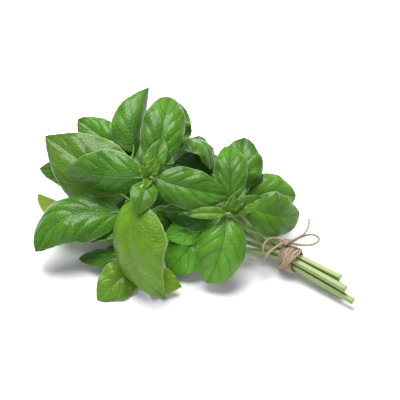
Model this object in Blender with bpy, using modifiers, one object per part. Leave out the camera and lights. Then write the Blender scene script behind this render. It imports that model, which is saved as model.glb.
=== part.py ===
"""A bunch of sweet basil lying down, its seven stems tied with jute twine.

The stems run along X, from the leafy head at -X to the cut ends at +X, and Z is up. Lengths in the
tables are in millimetres and are turned into metres by MM. Every leaf is one grid that a formula
bends into a blade, so a few numbers place it: where the blade starts, where its tip is, which way
its upper side looks, and how wide and how curved it is.
"""

import bmesh
import bpy
import numpy as np

MM = 0.001
# Middle of the bunch's footprint and its lowest point, which are moved to the origin.
FOOT_CENTRE = (4.55, -23.7, 0.0)

BLADE_THICKNESS = 0.7
NARROWEST_HALF = 0.6  # half the blade's width where it meets the stalk and at its tip
FOOT_POWER = 0.6  # how the outline opens from the stalk: smaller is rounder
TIP_POWER = 0.8  # how it closes at the tip
ARCH = 0.12  # height of the midrib's bow, as a share of the leaf's length
RISE = 14  # degrees that the blade climbs away from its midrib
DROP = 44  # degrees that it falls at its margin
EVEN_CURVE = 0.35  # share of the curve across the blade that stays as the blade narrows
WAVES = 3  # waves of the margin along the leaf
WAVE_HEIGHT = {"young": 0.7, "grown": 1.4}
WAVE_SHIFT = 1.9  # radians between the waves of the two margins
LEAF_SHIFT = 2.4  # radians between the waves of one leaf and the next
STEM_HALF = 2.25  # half the width of the thickest square stems at their cut ends
STEM_TIP_SHARE = 0.6  # the stem's size at its growing tip against that at the cut
STEM_CORNER = 0.5  # where the flat corners of the stem's section begin, in half widths
RINGS_A_POINT = 1.4  # rings of a stem for each point of its route
STEM_SAMPLES = 60  # steps along a stem in which a node's place is counted
STALK_RADIUS = 1.15
STALK_ENDS = (1.15, 0.5)  # the stalk's size where it leaves the stem and where it ends, in radii
STALK_RINGS = 4
STALK_REACH = 0.45  # how far back from the blade the stalk already points along it
STALK_UNDER_BLADE = 0.10  # share of the leaf's length that its stalk runs along

TWINE_RADIUS = 0.8
TIE_MIDDLE = (2.2, 11.75)  # y and z of the middle of the tied bundle
TURN_POINTS = 12
# The twine round the stems, as one open coil with the knot on it.
TURNS = 7.4
TURNS_START = 68.0  # where along X the first turn's side is
TURNS_PITCH = 1.85
TURNS_RADIUS = 7.9
TURNS_LEAN = -0.12  # how far each turn's top lies toward the leaves (negative) or the cut ends, in radii
KNOT_MIDDLE = (68.9, 6.2, 22.1)
KNOT_BEND = 2.3  # radius of the knot's rings
KNOT_RADIUS = 1.1
KNOT_TILTS = (0.5, 1.9)  # how each ring of the knot is turned about X, in radians
KNOT_POINTS = 8

# Free twine: two bow loops and two tails, from the knot outward.
FREE_TWINE = {
    "twine_loop_right": [
        (73, 7.9, 24), (75.2, 12, 25.3), (77.9, 16.4, 26), (80.9, 19.9, 26), (84.4, 21.8, 25),
        (87.2, 20.8, 24), (87.1, 17.1, 23.2), (84.1, 12.9, 22.8), (78.9, 9.1, 22.9), (73.9, 7, 22.6),
    ],
    "twine_loop_left": [
        (66.7, 3.8, 24.2), (63, 1.9, 26), (59.3, -1.7, 27), (58.5, -6.8, 27.2), (59.4, -11.5, 26.2),
        (61.1, -13, 23.4), (62.1, -9.6, 20.2), (62.5, -3.2, 18.9), (63.3, -0.6, 18.9),
        (64.9, 2, 19.7),
    ],
    "twine_tail_right": [
        (72.5, 6, 25.8), (75.8, 10.6, 27.8), (77.4, 16.1, 28.6), (75.4, 24.4, 27.4), (70.1, 34, 24),
    ],
    "twine_tail_left": [
        (67.9, 1.7, 24), (66.7, -3.1, 25), (66, -9.8, 25.6), (65.3, -14.5, 23.6),
        (63.3, -15.4, 17.5), (59.6, -12.1, 7),
    ],
}
TWINE_STEP = 4.2  # spacing of the points along free twine
FLOOR_DEPTH = 20.0
FLOOR_SIDE = 500.0
SMALLEST_PIECE = 20  # a loose piece of fewer points than this is a Boolean's leftover
CREASE = 0.7  # faces that meet at more than this angle, in radians, keep a crisp edge

TOWARD_VIEW = (0.42, -0.57, 0.71)
SKYWARD = (0.0, 0.0, 1.0)
BETWEEN = (0.25, -0.35, 0.9)

# Steps along and across a blade, by how big the leaf is.
LARGE = (7, 6)
MEDIUM = (4, 4)
YOUNG = (4, 2)


def leaf(base, tip, width, up=BETWEEN, node=0.95, grid=LARGE, **form):
    """One leaf's numbers. Its form may hold arch, hump, bend, rise, drop, wave and end.

    A rise or drop of two numbers is for the blade's left and right half.
    """
    return dict(base=base, tip=tip, width=width, up=up, node=node, grid=grid, **form)


SPRIGS = {
    "sprig_centre": dict(
        thick=1.0,
        stem=[(124.5, -0.8, 13.4), (104, -0.7, 14.2), (76, -0.4, 14.9), (64, -0.4, 15.1),
              (50, -2, 18.8), (30, 3, 28),
              (12, 0, 40), (-4, -14, 48), (-15, -27, 54), (-24, -35, 64)],
        leaves=[
            leaf((-27.6, -25.4, 69), (-52.2, 25.2, 87.5), 36.5, TOWARD_VIEW, arch=0.16, hump=1.2,
                 drop=56, rise=20, end=0.62),
            leaf((-19, -57, 64), (21.8, -80, 7.5), 60, (-0.03, -0.92, 0.38), arch=0.18, bend=0.11,
                 wave=0.7,
                 drop=(50, 68), end=1.0),
            leaf((-29, -38, 67), (-86, -57, 56), 41, (0.38, -0.52, 0.77), bend=-0.03,
                 rise=(-26, 10), drop=(90, 26)),
            leaf((-18, -35.5, 69.5), (24.1, -7.9, 55.6), 33, (0.35, -0.5, 0.8), arch=0.08, bend=0.03,
                 drop=48, rise=24),
            leaf((-2, -20, 31), (-24, -47, 33), 22, (0.2, -0.4, 0.9), node=0.66, grid=MEDIUM,
                 arch=0.02),
            leaf((-26, -36, 67), (-31, -10, 84), 16, TOWARD_VIEW, node=0.98, grid=YOUNG, drop=20,
                 rise=32),
            leaf((-22.5, -41, 68.5), (-12.3, -66.3, 62.8), 20, TOWARD_VIEW, node=0.98, grid=YOUNG,
                 arch=0.16, drop=26),
            leaf((-25, -37, 69), (-25, -28, 81), 8, (0.3, -0.7, 0.6), node=0.99, grid=YOUNG, drop=0,
                 rise=30),
            leaf((-24, -39, 68), (-18, -49, 71), 7, (0.3, -0.3, 0.8), node=0.99, grid=YOUNG, drop=0,
                 rise=30),
        ],
    ),
    "sprig_right": dict(
        thick=1.0,
        stem=[(116.5, 4.6, 15.6), (98, 4.3, 15.6), (76, 4, 15.7), (64, 4, 16), (54, 2, 23),
              (44, -6, 31),
              (34, -14.5, 40), (32.3, -15.8, 44.5)],
        leaves=[
            leaf((27.2, -7.9, 49.6), (3, 26.8, 66.5), 27, TOWARD_VIEW, arch=0.18, hump=1.2, drop=50,
                 rise=22, end=0.56),
            leaf((31, -17, 46), (37.6, -50.8, 8.5), 41.5, TOWARD_VIEW, arch=0.20, bend=-0.05, drop=60,
                 rise=18, end=0.66),
            leaf((40, -1, 46), (62, 33, 26), 37, (0.45, -0.5, 0.75), bend=0.08, drop=(36, 64), rise=18),
            leaf((26, -16, 40), (-15, -33, 38), 29, (0.1, -0.3, 0.95), node=0.92, arch=0.06, wave=1.0),
            leaf((31.5, -20.5, 52), (8.5, -37.5, 51), 9.5, (0.3, -0.4, 0.85), node=0.98, grid=YOUNG,
                 arch=0.08, drop=16, rise=30),
            leaf((33, -16, 50), (47, 4, 58), 13, TOWARD_VIEW, node=0.98, grid=YOUNG, drop=12, rise=30),
            leaf((31, -16, 51), (33, 3, 60), 9, TOWARD_VIEW, node=0.99, grid=YOUNG, drop=0, rise=30),
            leaf((31.5, -18, 51), (25.5, -14.5, 55.5), 9, TOWARD_VIEW, node=0.99, grid=YOUNG, drop=0,
                 rise=24),
        ],
    ),
    "sprig_upper": dict(
        thick=0.74,
        stem=[(119, 3, 10.3), (98, 2.7, 10.9), (76, 2.5, 11.4), (64, 2.5, 11.5), (50, 2, 13),
              (20, -2.2, 23),
              (-10, -3, 33), (-35, -8, 45), (-50, -11, 55)],
        leaves=[
            leaf((-58, -13, 57), (-78, 33, 79), 39.5, TOWARD_VIEW, bend=-0.06,
                 rise=(10, -45), drop=(40, 100), end=1.1),
            leaf((-66, -13, 50), (-113, -11, 60), 30, (0, -0.5, 0.85), node=0.97, arch=0.08, drop=44,
                 rise=18),
            leaf((-40, 12, 50), (-58, 39, 72), 29, (0.3, -0.6, 0.7), arch=0.10, drop=24, wave=2.4),
            leaf((-34, 18.5, 60), (-4.6, 12, 50), 29, (0.44, 0.41, 0.78), node=0.93, arch=0.30,
                 rise=10),
            leaf((-28, 13.5, 34), (-41.3, 47.5, 38), 31, (0, -0.4, 0.9), node=0.72, grid=MEDIUM,
                 rise=16),
            leaf((-60, 0, 42), (-100, 14, 36), 34, (0, -0.3, 0.95), node=0.8, grid=MEDIUM, rise=16),
            leaf((-44, -18, 50), (-74, -2, 53), 26, (0.3, -0.5, 0.8), node=0.88, grid=MEDIUM,
                 arch=0.08),
            leaf((-50, -8, 57), (-40, 6, 64), 13, TOWARD_VIEW, node=0.98, grid=YOUNG, drop=10, rise=24),
        ],
    ),
    "sprig_left": dict(
        thick=0.78,
        stem=[(121.5, 1.4, 1.6), (110, 1.2, 1.65), (98, 0.9, 3.7), (86, 1, 6.6), (76, 1.1, 7.5),
              (64, 1.2, 7.5),
              (50, 3, 7), (20, -6, 9.5), (-8, -25, 18), (-28, -38, 31), (-40, -46, 43)],
        leaves=[
            leaf((-42, -43, 43), (-123.2, -37.6, 57), 56, (0.15, -0.45, 0.88), arch=0.06,
                 drop=(46, 28), end=1.0),
            leaf((-39.5, -53.5, 38.5), (-76.5, -107.5, 19), 47, (0.1, -0.2, 0.98), arch=0.17,
                 hump=1.2, bend=0.12,
                 drop=(64, 52)),
            leaf((-68.6, -32, 34), (-119.6, -51, 35.5), 29, (0, -0.3, 0.95), node=0.9, arch=0.08,
                 drop=20),
            leaf((-67.8, -64, 19), (-114, -61.5, 19.5), 26, (0, -0.2, 0.95), node=0.86, grid=MEDIUM,
                 arch=0.08,
                 rise=(14, -40), drop=(20, 90)),
            leaf((-24, -50, 26), (-60, -73, 29), 23, (0, -0.3, 0.95), node=0.8, grid=MEDIUM,
                 arch=0.06, drop=20),
            leaf((-28, -50, 12), (-41, -72, 0.2), 20, SKYWARD, node=0.62, grid=MEDIUM, arch=0.10,
                 drop=20),
            leaf((-36, -60, 24), (-53, -82, 21), 18, (-0.2, 0.2, 0.9), node=0.8, grid=MEDIUM,
                 arch=0.08, drop=20, wave=0.5),
            leaf((-30, -34, 22), (-76, -42, 24), 42, SKYWARD, node=0.75, grid=MEDIUM, arch=0.06,
                 drop=20),
        ],
    ),
    "sprig_front": dict(
        thick=1.0,
        stem=[(132.3, -2.2, 6.6), (106, -2.3, 8.6), (76, -1.7, 10.5), (64, -1.9, 10.5),
              (50, -6, 11.1), (28, -19, 13),
              (8, -33, 17), (-6, -46, 23), (-12, -54, 27)],
        leaves=[
            leaf((-13, -68.5, 11.5), (-21.2, -105.3, 0.4), 30, (0.3, -0.5, 0.8), node=0.98, arch=0.10,
                 drop=34, rise=16),
            leaf((-24, -71.8, 15), (-54.7, -85.7, 6), 17, (0, -0.3, 0.9), node=0.98, grid=MEDIUM,
                 arch=0.04, rise=16,
                 wave=0.7),
            leaf((16, -24, 25), (7.5, -57.5, 5), 36, (0.2, -0.5, 0.8), node=0.6, arch=0.14, rise=16),
            leaf((17, -14, 28), (-4, -46, 27), 27, (0.3, -0.4, 0.85), node=0.55, arch=0.10, rise=16),
            leaf((2, -72, 9), (24, -63.5, 6.5), 21, (0.3, -0.5, 0.8), node=0.75, grid=MEDIUM,
                 arch=0.10, drop=20, end=1.1),
            leaf((-14, -58, 28), (-18, -74, 34), 12, BETWEEN, node=0.99, grid=YOUNG, drop=10, rise=24),
        ],
    ),
    "sprig_back": dict(
        thick=0.74,
        stem=[(113.5, 8.6, 11.3), (97, 7.7, 11.8), (76, 6.75, 12.3), (64, 6.8, 12.6), (54, 9, 18.5),
              (38, 12, 27),
              (18, 15, 36), (2, 18, 43), (-8, 19, 47)],
        leaves=[
            leaf((27.5, 16, 38), (51.5, 43.5, 30), 37, (0.3, -0.5, 0.8), node=0.7, arch=0.14, rise=16),
            leaf((21.4, 11.6, 44), (3, 44.6, 62), 35, TOWARD_VIEW, node=0.72, rise=18, wave=2.2),
            leaf((-4, 13, 44), (-37, 9, 41), 31, (0, -0.5, 0.8), node=0.96, grid=MEDIUM, arch=0.05,
                 drop=20),
            leaf((22, 26, 28), (12, 54, 14), 34, SKYWARD, node=0.6, grid=MEDIUM, arch=0.14),
            leaf((4, 30, 34), (-12, 58, 24), 32, SKYWARD, node=0.8, grid=MEDIUM, arch=0.12),
            leaf((-11, 21, 47), (-24, 28, 48), 12, BETWEEN, node=0.99, grid=YOUNG, drop=10, rise=24),
        ],
    ),
    "sprig_low": dict(
        thick=0.74,
        stem=[(114.5, 6.8, 5.9), (98, 6, 7.1), (76, 5, 8.3), (64, 5.3, 8.3), (50, 12, 8.8),
              (20, 20, 12),
              (-10, 24, 17), (-34, 25, 23)],
        leaves=[
            leaf((-42, 20, 25), (-92, 30, 14), 38, SKYWARD, node=0.97, grid=MEDIUM, arch=0.12),
            leaf((-30, 32, 22), (-46, 60, 8), 36, SKYWARD, node=0.9, grid=MEDIUM, arch=0.12),
            leaf((8, 26, 18), (22, 50, 4), 32, SKYWARD, node=0.6, grid=MEDIUM, arch=0.12),
            leaf((-26, 14, 16), (-70, -10, 4), 38, SKYWARD, node=0.8, grid=MEDIUM, arch=0.10),
            leaf((-14, 34, 13), (-14, 58, 0.2), 30, SKYWARD, node=0.75, grid=MEDIUM, arch=0.12,
                 wave=1.2),
            leaf((-48, 28, 16), (-78, 50, 0.2), 28, SKYWARD, node=0.97, grid=MEDIUM, arch=0.12,
                 wave=1.2),
            leaf((30, 28, 9), (52, 48, 1), 24, SKYWARD, node=0.45, grid=MEDIUM, arch=0.10, wave=1.0),
            leaf((-38, 28, 27), (-54, 42, 34), 14, SKYWARD, node=0.99, grid=YOUNG, drop=10, rise=24),
        ],
    ),
}


def unit(vectors):
    """Each vector brought to length 1."""
    return vectors / np.linalg.norm(vectors, axis=-1, keepdims=True)


def smooth_path(points, count):
    """Points evenly spread in parameter on a Catmull-Rom curve through the given ones."""
    given = np.array(points, float)
    given = np.vstack([2 * given[0] - given[1], given, 2 * given[-1] - given[-2]])
    spans = len(given) - 3
    place = np.linspace(0, spans, count)
    span = np.minimum(place.astype(int), spans - 1)
    t = (place - span)[:, None]
    a, b, c, d = (given[span + k] for k in range(4))
    bend = 2 * a - 5 * b + 4 * c - d
    twist = 3 * b - a - 3 * c + d
    return 0.5 * (2 * b + (c - a) * t + bend * t**2 + twist * t**3)


def midrib(form, t):
    """Points of the leaf's middle line at shares t of its length, and the way its upper side looks."""
    base = np.array(form["base"], float)
    chord = np.array(form["tip"], float) - base
    length = np.linalg.norm(chord)
    along = chord / length
    up = np.array(form["up"], float)
    up = unit(up - (up @ along) * along)
    side = np.cross(along, up)
    swell = np.sin(np.pi * t ** form.get("hump", 1))[:, None] * length
    lift = form.get("arch", ARCH) * swell * up + form.get("bend", 0) * swell * side
    return base + chord * t[:, None] + lift, up


def half_width(form, t):
    """Half the blade's width: a rounded foot, the broadest place below the middle, a pointed tip."""
    end = form.get("end", TIP_POWER)
    broadest = FOOT_POWER / (FOOT_POWER + end)
    inside = np.clip(t, 0.004, 0.996)
    share = (inside / broadest) ** FOOT_POWER * ((1 - inside) / (1 - broadest)) ** end
    return np.maximum(form["width"] / 2 * share, NARROWEST_HALF)


def by_side(value, v):
    """The value for each point's half of the blade, in radians."""
    left, right = np.radians(np.broadcast_to(value, 2))
    return np.where(v < 0, left, right)


def blade_points(form, t, v):
    """Where the blade's grid points go: t runs from stalk to tip, v from -1 to 1 across it.

    Across the leaf the surface climbs away from the midrib and then curves down to the margin, as an
    arc whose slope falls evenly. A wave grows toward the margin.
    """
    step = 1e-3
    middle, up = midrib(form, t)
    ahead, _ = midrib(form, np.clip(t + step, 0, 1))
    behind, _ = midrib(form, np.clip(t - step, 0, 1))
    along = unit(ahead - behind)
    normal = unit(up - (along @ up)[:, None] * along)
    side = np.cross(along, normal)
    half = half_width(form, t)
    grow = np.clip(2 * half / form["width"], 0.1, 1)
    rise = by_side(form.get("rise", RISE), v)
    drop = by_side(form.get("drop", DROP), v)
    turn = (rise + drop) / half * (EVEN_CURVE + (1 - EVEN_CURVE) * grow)
    slope = rise - turn * np.abs(v) * half
    out = (np.sin(rise) - np.sin(slope)) / turn
    height = (np.cos(slope) - np.cos(rise)) / turn
    size = form.get("wave", WAVE_HEIGHT["young" if form["grid"] == YOUNG else "grown"])
    phase = 2 * np.pi * WAVES * t + form["phase"] + np.where(v < 0, WAVE_SHIFT, 0)
    height = height + size * np.abs(v) ** 2.5 * np.sin(phase) * grow
    return middle + side * (np.sign(v) * out)[:, None] + normal * height[:, None]


def clear_scene():
    for obj in list(bpy.data.objects):
        bpy.data.objects.remove(obj, do_unlink=True)


def new_collection(name):
    made = bpy.data.collections.new(name)
    bpy.context.scene.collection.children.link(made)
    return made


def new_material(name, colour, roughness):
    made = bpy.data.materials.new(name)
    made.use_nodes = True
    shader = made.node_tree.nodes["Principled BSDF"]
    shader.inputs["Base Color"].default_value = (*colour, 1)
    shader.inputs["Roughness"].default_value = roughness
    shader.inputs["Metallic"].default_value = 0
    return made


def to_metres(points):
    return (np.asarray(points, float) - FOOT_CENTRE) * MM


def blade_object(name, form, collection):
    """A grid bent into the leaf's blade and given its thickness."""
    mesh = bpy.data.meshes.new(name)
    shape = bmesh.new()
    along, across = form["grid"]
    bmesh.ops.create_grid(shape, x_segments=along, y_segments=across, size=0.5)
    flat = np.array([vert.co[:] for vert in shape.verts])
    placed = to_metres(blade_points(form, flat[:, 0] + 0.5, 2 * flat[:, 1]))
    for vert, place in zip(shape.verts, placed):
        vert.co = place
    bmesh.ops.triangulate(shape, faces=shape.faces[:], quad_method="SHORT_EDGE")
    shape.to_mesh(mesh)
    shape.free()
    made = bpy.data.objects.new(name, mesh)
    collection.objects.link(made)
    solid = made.modifiers.new("Thickness", "SOLIDIFY")
    solid.thickness = BLADE_THICKNESS * MM
    solid.offset = 0
    return made


def tube_object(name, points, radii, collection, cyclic=False, profile=None, resolution=1):
    """A mesh tube along the points, round or with the profile curve's section."""
    curve = bpy.data.curves.new(name, "CURVE")
    curve.dimensions = "3D"
    curve.twist_mode = "Z_UP" if profile else "MINIMUM"
    spline = curve.splines.new("POLY")
    spline.points.add(len(points) - 1)
    for point, place, radius in zip(spline.points, to_metres(points), radii):
        point.co = (*place, 1)
        point.radius = radius
    spline.use_cyclic_u = cyclic
    curve.use_fill_caps = not cyclic
    if profile:
        curve.bevel_mode = "OBJECT"
        curve.bevel_object = profile
    else:
        curve.bevel_depth = MM
        curve.bevel_resolution = resolution
    guide = bpy.data.objects.new(name + "_path", curve)
    collection.objects.link(guide)
    graph = bpy.context.evaluated_depsgraph_get()
    mesh = bpy.data.meshes.new_from_object(guide.evaluated_get(graph))
    shape = bmesh.new()
    shape.from_mesh(mesh)
    bmesh.ops.remove_doubles(shape, verts=shape.verts, dist=1e-6)
    bmesh.ops.recalc_face_normals(shape, faces=shape.faces)
    shape.to_mesh(mesh)
    shape.free()
    made = bpy.data.objects.new(name, mesh)
    collection.objects.link(made)
    bpy.data.objects.remove(guide)
    return made


def stem_profile(collection):
    """Section of a mint-family stem: a square, cut off at its corners, a millimetre from the middle."""
    curve = bpy.data.curves.new("stem_section", "CURVE")
    curve.dimensions = "2D"
    spline = curve.splines.new("POLY")
    outline = [(1, -STEM_CORNER), (1, STEM_CORNER), (STEM_CORNER, 1), (-STEM_CORNER, 1),
               (-1, STEM_CORNER), (-1, -STEM_CORNER), (-STEM_CORNER, -1), (STEM_CORNER, -1)]
    spline.points.add(len(outline) - 1)
    for point, (x, y) in zip(spline.points, outline):
        point.co = (x * MM, y * MM, 0, 1)
    spline.use_cyclic_u = True
    made = bpy.data.objects.new("stem_section", curve)
    made.hide_render = True
    made.display_type = "WIRE"
    collection.objects.link(made)
    return made


def stalk_path(stem, form):
    """The leaf's stalk: out of the stem at its node, then on under the start of the midrib."""
    start = smooth_path(stem, STEM_SAMPLES + 1)[round(STEM_SAMPLES * form["node"])]
    under, _ = midrib(form, np.array([0, 0.02, STALK_UNDER_BLADE]))
    onward = unit(under[1] - under[0])
    reach = np.linalg.norm(under[0] - start)
    halfway = under[0] - onward * reach * STALK_REACH
    return smooth_path([start, halfway, under[0], under[2]], STALK_RINGS)


def stalk_radii(form):
    thick = STALK_RADIUS * min(1, 0.35 + form["width"] / 50)
    return thick * np.linspace(*STALK_ENDS, STALK_RINGS)


def drop_specks(shape):
    """Removes the slivers that a Boolean can leave beside the body: loose pieces of a few points."""
    waiting = set(shape.verts)
    specks = []
    while waiting:
        front = {waiting.pop()}
        island = set(front)
        while front:
            reached = {edge.other_vert(vert) for vert in front for edge in vert.link_edges}
            front = reached - island
            island |= front
        waiting -= island
        if len(island) < SMALLEST_PIECE:
            specks.extend(island)
    bmesh.ops.delete(shape, geom=specks, context="VERTS")


def finish(made, material):
    """The body's one material, and smooth shading between its crisp edges."""
    made.data.materials.clear()
    made.data.materials.append(material)
    made.data.shade_smooth()
    made.data.set_sharp_from_angle(angle=CREASE)


def join_all(target, pieces, floor):
    """One union of the target with every object in the collection, trimmed flat where it stands."""
    union = target.modifiers.new("Union", "BOOLEAN")
    union.operation = "UNION"
    union.operand_type = "COLLECTION"
    union.collection = pieces
    union.solver = "EXACT"
    flat = target.modifiers.new("Flat", "BOOLEAN")
    flat.operation = "DIFFERENCE"
    flat.object = floor
    flat.solver = "EXACT"
    graph = bpy.context.evaluated_depsgraph_get()
    mesh = bpy.data.meshes.new_from_object(target.evaluated_get(graph))
    shape = bmesh.new()
    shape.from_mesh(mesh)
    drop_specks(shape)
    shape.to_mesh(mesh)
    shape.free()
    target.modifiers.clear()
    target.data = mesh
    for obj in list(pieces.objects):
        bpy.data.objects.remove(obj)
    bpy.data.collections.remove(pieces)


def build_sprig(name, sprig, home, guides, section, floor, material):
    rings = round(RINGS_A_POINT * len(sprig["stem"]))
    stem = smooth_path(sprig["stem"], rings)
    radii = sprig["thick"] * np.linspace(STEM_HALF, STEM_HALF * STEM_TIP_SHARE, rings)
    made = tube_object(name, stem, radii, home, profile=section)
    pieces = bpy.data.collections.new(name + "_pieces")
    guides.children.link(pieces)
    for number, form in enumerate(sprig["leaves"]):
        form["phase"] = LEAF_SHIFT * number
        blade_object(f"{name}_blade_{number}", form, pieces)
        tube_object(f"{name}_stalk_{number}", stalk_path(sprig["stem"], form), stalk_radii(form), pieces)
    join_all(made, pieces, floor)
    finish(made, material)


def wound_path():
    """The twine's path round the bundle, as an open coil whose turns lean a little."""
    turn = np.linspace(0, TURNS, round(TURNS * TURN_POINTS) + 1)
    angle = 2 * np.pi * turn
    x = TURNS_START + TURNS_PITCH * turn + TURNS_LEAN * TURNS_RADIUS * np.cos(angle)
    y = TIE_MIDDLE[0] + TURNS_RADIUS * np.sin(angle)
    z = TIE_MIDDLE[1] + TURNS_RADIUS * np.cos(angle)
    return np.column_stack([x, y, z])


def knot_points(tilt):
    """A small ring of the knot, tilted about X."""
    angle = np.linspace(0, 2 * np.pi, KNOT_POINTS, endpoint=False)
    x = KNOT_BEND * np.cos(angle)
    y = KNOT_BEND * np.sin(angle)
    ring = np.column_stack([x, y * np.cos(tilt), y * np.sin(tilt)])
    return ring + KNOT_MIDDLE


def build_tie(home, guides, floor, material):
    """The turns round the stems and the knot on top, fused into one body."""
    path = wound_path()
    made = tube_object("twine_tie", path, [TWINE_RADIUS] * len(path), home)
    pieces = bpy.data.collections.new("twine_pieces")
    guides.children.link(pieces)
    for number, tilt in enumerate(KNOT_TILTS):
        ring = knot_points(tilt)
        tube_object(f"knot_{number}", ring, [KNOT_RADIUS] * len(ring), pieces, cyclic=True)
    join_all(made, pieces, floor)
    finish(made, material)


def build_free_twine(name, route, home, material):
    length = np.linalg.norm(np.diff(np.array(route, float), axis=0), axis=1).sum()
    count = round(length / TWINE_STEP) + 1
    made = tube_object(name, smooth_path(route, count), [TWINE_RADIUS] * count, home, resolution=2)
    finish(made, material)


def floor_block(guides):
    """What lies under the surface that the bunch rests on: it trims flat spots to stand on."""
    bpy.ops.mesh.primitive_cube_add(size=1, location=(0, 0, -FLOOR_DEPTH / 2 * MM))
    made = bpy.context.object
    made.name = "floor_block"
    made.scale = (FLOOR_SIDE * MM, FLOOR_SIDE * MM, FLOOR_DEPTH * MM)
    made.hide_render = True
    made.display_type = "WIRE"
    for other in list(made.users_collection):
        other.objects.unlink(made)
    guides.objects.link(made)
    return made


def main():
    clear_scene()
    home = new_collection("basil_bunch")
    guides = new_collection("guides")
    green = new_material("basil_leaf", (0.13, 0.32, 0.05), 0.5)
    jute = new_material("jute_twine", (0.52, 0.36, 0.2), 0.85)
    section = stem_profile(guides)
    floor = floor_block(guides)
    for name, sprig in SPRIGS.items():
        build_sprig(name, sprig, home, guides, section, floor, green)
    build_tie(home, guides, floor, jute)
    for name, route in FREE_TWINE.items():
        build_free_twine(name, route, home, jute)


main()
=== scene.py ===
import bmesh
import bpy
import numpy as np
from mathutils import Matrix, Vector


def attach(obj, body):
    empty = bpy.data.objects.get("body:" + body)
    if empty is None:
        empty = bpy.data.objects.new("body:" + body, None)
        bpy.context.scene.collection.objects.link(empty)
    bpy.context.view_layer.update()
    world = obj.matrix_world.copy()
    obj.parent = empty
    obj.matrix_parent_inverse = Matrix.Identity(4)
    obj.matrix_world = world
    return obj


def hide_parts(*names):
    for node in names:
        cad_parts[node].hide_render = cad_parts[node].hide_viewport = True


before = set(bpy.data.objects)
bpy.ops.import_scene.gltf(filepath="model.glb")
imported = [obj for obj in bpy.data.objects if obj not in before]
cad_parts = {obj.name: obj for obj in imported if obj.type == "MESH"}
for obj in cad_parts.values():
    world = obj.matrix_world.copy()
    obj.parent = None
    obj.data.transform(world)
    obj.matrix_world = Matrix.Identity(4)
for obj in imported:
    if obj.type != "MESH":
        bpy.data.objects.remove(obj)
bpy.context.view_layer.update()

mm = 0.001
footCentre = np.array([4.55, -23.7, 0.0])  # middle of the bunch's footprint, in the tables' mm


def toMetres(points):
    return (np.asarray(points, float) - footCentre) * mm


# the view and the light, in metres
viewpoint = dict(azimuth=36, elevation=45, distance=1.0, target=(-0.0086, 0.0213, 0.030), lens=120,
                 sensor=36, nearest=0.05, furthest=20)
studio = dict(
    floorColour=(0.935, 0.905, 0.955),
    floorRoughness=0.9,
    floorSpecular=0.1,
    floorHalf=3.0,
    floorDrop=0.0002,  # keeps the floor clear of what lies on it
    surround=(0.95, 0.97, 1.0),
    surroundStrength=0.28,
    # each light: where it stands, its width, its power in watts, its colour
    lights={
        "overhead": ((-0.42, 0.28, 1.38), 1.1, 44, (1.0, 0.995, 0.98)),
        "front": ((0.45, -0.95, 0.45), 0.7, 3, (0.95, 0.98, 1.0)),
    },
)
lookTarget = Vector(viewpoint["target"])


def aim(thing, backward):
    # turns a camera or a light so that this direction lies behind it
    thing.rotation_mode = "QUATERNION"
    thing.rotation_quaternion = (-backward).to_track_quat("-Z", "Y")
    bpy.context.scene.collection.objects.link(thing)


def makeCamera():
    data = bpy.data.cameras.new("photoCamera")
    data.lens = viewpoint["lens"]
    data.sensor_width = viewpoint["sensor"]
    data.clip_start = viewpoint["nearest"]
    data.clip_end = viewpoint["furthest"]
    camera = bpy.data.objects.new("photoCamera", data)
    turn, height = np.radians(viewpoint["azimuth"]), np.radians(viewpoint["elevation"])
    level = np.cos(height)
    back = Vector((np.sin(turn) * level, -np.cos(turn) * level, np.sin(height)))
    camera.location = lookTarget + back * viewpoint["distance"]
    aim(camera, back)
    bpy.context.scene.camera = camera


def makeLights():
    for name, (place, width, power, colour) in studio["lights"].items():
        data = bpy.data.lights.new(name, "AREA")
        data.size = width
        data.energy = power
        data.color = colour
        light = bpy.data.objects.new(name, data)
        light.location = place
        aim(light, Vector(place) - lookTarget)
    world = bpy.data.worlds.new("paleStudio")
    world.use_nodes = True
    sky = world.node_tree.nodes["Background"]
    sky.inputs["Color"].default_value = (*studio["surround"], 1)
    sky.inputs["Strength"].default_value = studio["surroundStrength"]
    bpy.context.scene.world = world
    bpy.context.scene.view_settings.view_transform = "Standard"


def makeFloor():
    half = studio["floorHalf"]
    corners = [(-half, -half, 0), (half, -half, 0), (half, half, 0), (-half, half, 0)]
    mesh = bpy.data.meshes.new("floor")
    mesh.from_pydata(corners, [], [(0, 1, 2, 3)])
    floor = bpy.data.objects.new("floor", mesh)
    floor.location.z = -studio["floorDrop"]
    paint = bpy.data.materials.new("floorPaint")
    paint.use_nodes = True
    shader = paint.node_tree.nodes["Principled BSDF"]
    shader.inputs["Base Color"].default_value = (*studio["floorColour"], 1)
    shader.inputs["Roughness"].default_value = studio["floorRoughness"]
    shader.inputs["Specular IOR Level"].default_value = studio["floorSpecular"]
    mesh.materials.append(paint)
    bpy.context.scene.collection.objects.link(floor)


makeCamera()
makeLights()
makeFloor()
print("camera, light and floor are set")


# the forms of the leaves, in millimetres
towardView = (0.42, -0.57, 0.71)
skyward = (0.0, 0.0, 1.0)
between = (0.25, -0.35, 0.9)

# rows and columns of a blade's grid, by how big the leaf is
bladeMesh = {"large": (64, 49), "medium": (48, 33), "young": (36, 25)}


def leaf(base, tip, width, up, node=0.95, size="large", **form):
    # Where a leaf's blade starts and ends, how wide it is, which way it faces, and how far along
    # the stem its stalk leaves. Its form may also hold:
    #   arch, bend: how far the midrib bows up and sideways, as shares of its length
    #   hump: above 1, the bow is highest nearer the tip
    #   rise, drop: the slope up beside the midrib and down at the margin, in degrees
    #   wave: how high the margin waves
    #   end: the larger it is, the more pointed the tip
    # A rise or drop of two numbers is for the blade's left and right half.
    return dict(base=base, tip=tip, width=width, up=up, node=node, size=size, **form)


def medium(base, tip, width, up, node=0.8, **form):
    return leaf(base, tip, width, up, node, "medium", **form)


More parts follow.
